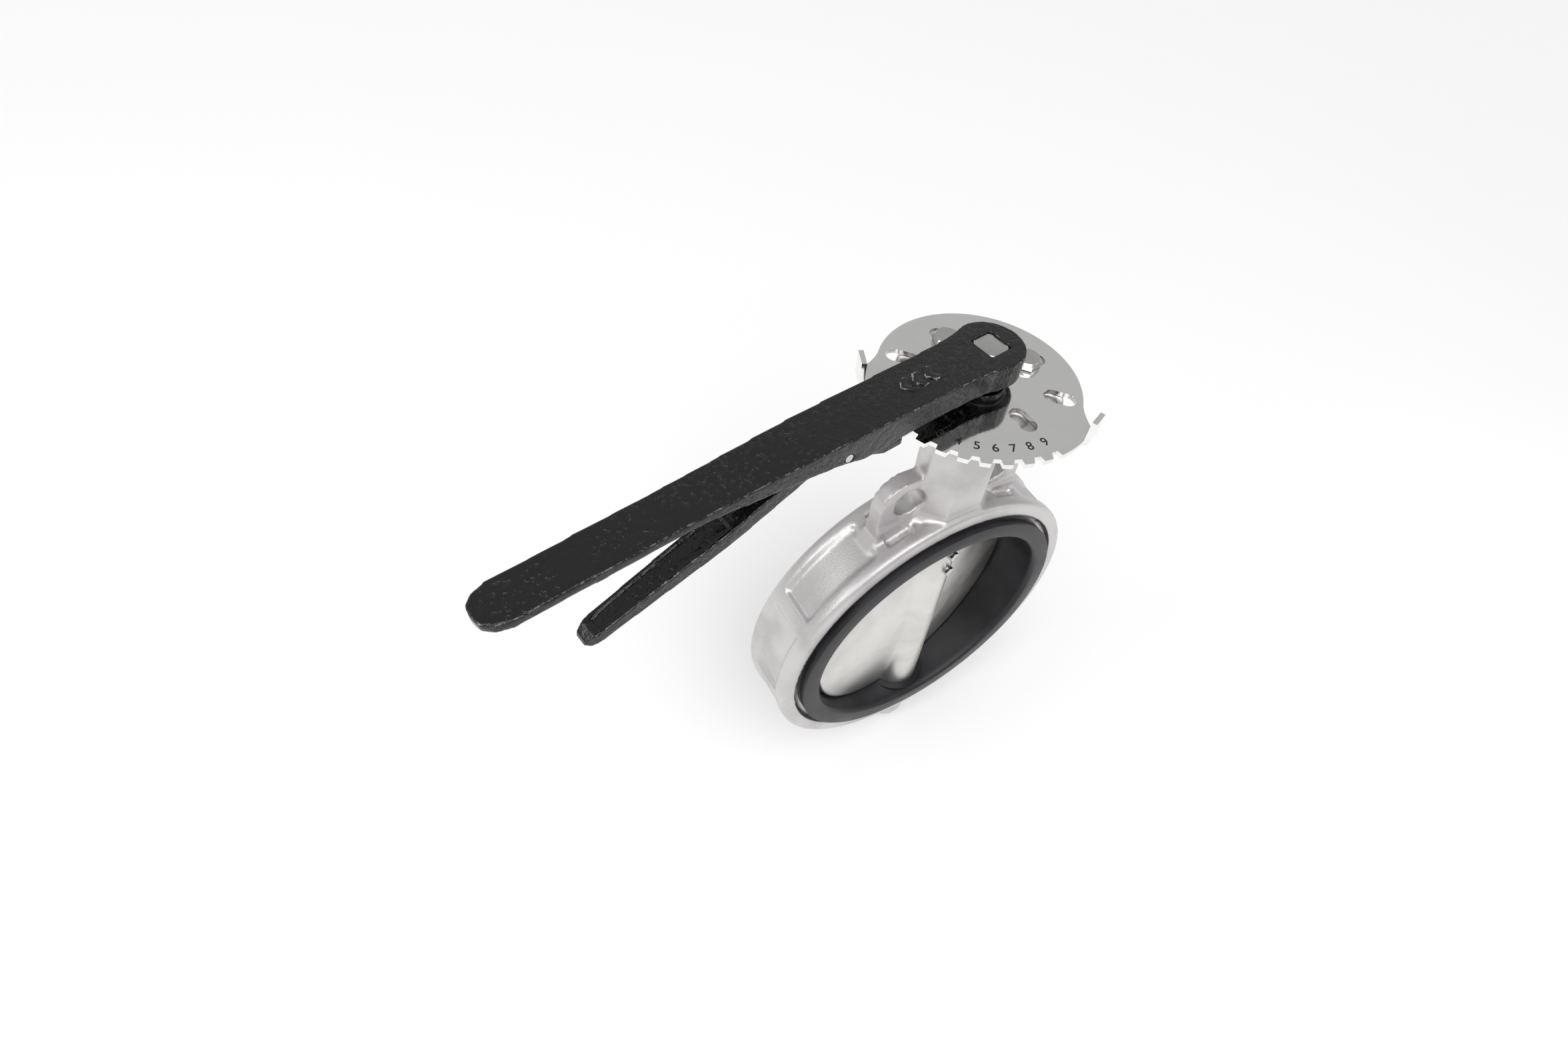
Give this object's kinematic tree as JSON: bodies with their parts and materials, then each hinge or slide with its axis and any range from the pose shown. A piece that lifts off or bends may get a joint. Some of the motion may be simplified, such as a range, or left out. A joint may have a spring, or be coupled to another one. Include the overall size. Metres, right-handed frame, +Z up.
{
  "type": "lever operated wafer butterfly valve",
  "caption": "Wafer butterfly valve with a rubber-lined ring body, a disc on a vertical stem, and a latching hand lever over a notched quarter-turn plate.",
  "frame": {"origin": "centre of the waterway, on the flow axis and the stem axis", "axes": "+Z up the stem towards the lever, +Y along the flow, lever near -X (almost shut)"},
  "size_m": [0.4257, 0.1358, 0.4319],
  "materials": {
    "cast_stainless": "bead-blasted satin",
    "disc_stainless": "fine satin",
    "polished_stainless": "mirror polished",
    "bright_steel": "machined bright",
    "spring_steel": "oiled dark",
    "black_painted_iron": "gloss black coating over a casting",
    "black_rubber": "smooth moulded",
    "white_ptfe": "smooth"
  },
  "bodies": {
    "valve": {"valve_body": "cast_stainless", "seat_liner": "black_rubber", "upper_bush": "white_ptfe", "middle_bush": "white_ptfe", "lower_bush": "white_ptfe", "thrust_pad": "white_ptfe", "stem_o_ring_lower": "black_rubber", "stem_o_ring_upper": "black_rubber", "stem_half_ring_left": "bright_steel", "stem_half_ring_right": "bright_steel", "head_washer": "bright_steel", "circlip": "spring_steel", "weather_seal": "black_rubber", "notch_plate": "polished_stainless", "plate_bolt_rear": "bright_steel", "plate_bolt_side": "bright_steel"},
    "stem_and_lever": {"stem": "bright_steel", "disc": "disc_stainless", "disc_pin_lower": "bright_steel", "disc_pin_upper": "bright_steel", "lever": "black_painted_iron", "lever_set_screw": "bright_steel", "trigger_pivot_pin": "bright_steel", "trigger_spring": "spring_steel"},
    "trigger": {"trigger": "black_painted_iron"}
  },
  "joints": [
    {"name": "stem_turn", "type": "hinge", "parent": "valve", "child": "stem_and_lever", "pos_m": [0, 0, 0], "axis": [0, 0, 1], "range_deg": [-10, 80]},
    {"name": "trigger_squeeze", "type": "hinge", "parent": "stem_and_lever", "child": "trigger", "pos_m": [-0.11818, -0.02084, 0.251], "axis": [-0.1736, 0.9848, 0], "range_deg": [-4, 10], "stiffness_Nm_per_rad": 6, "deforming": ["trigger_spring"]}
  ]
}
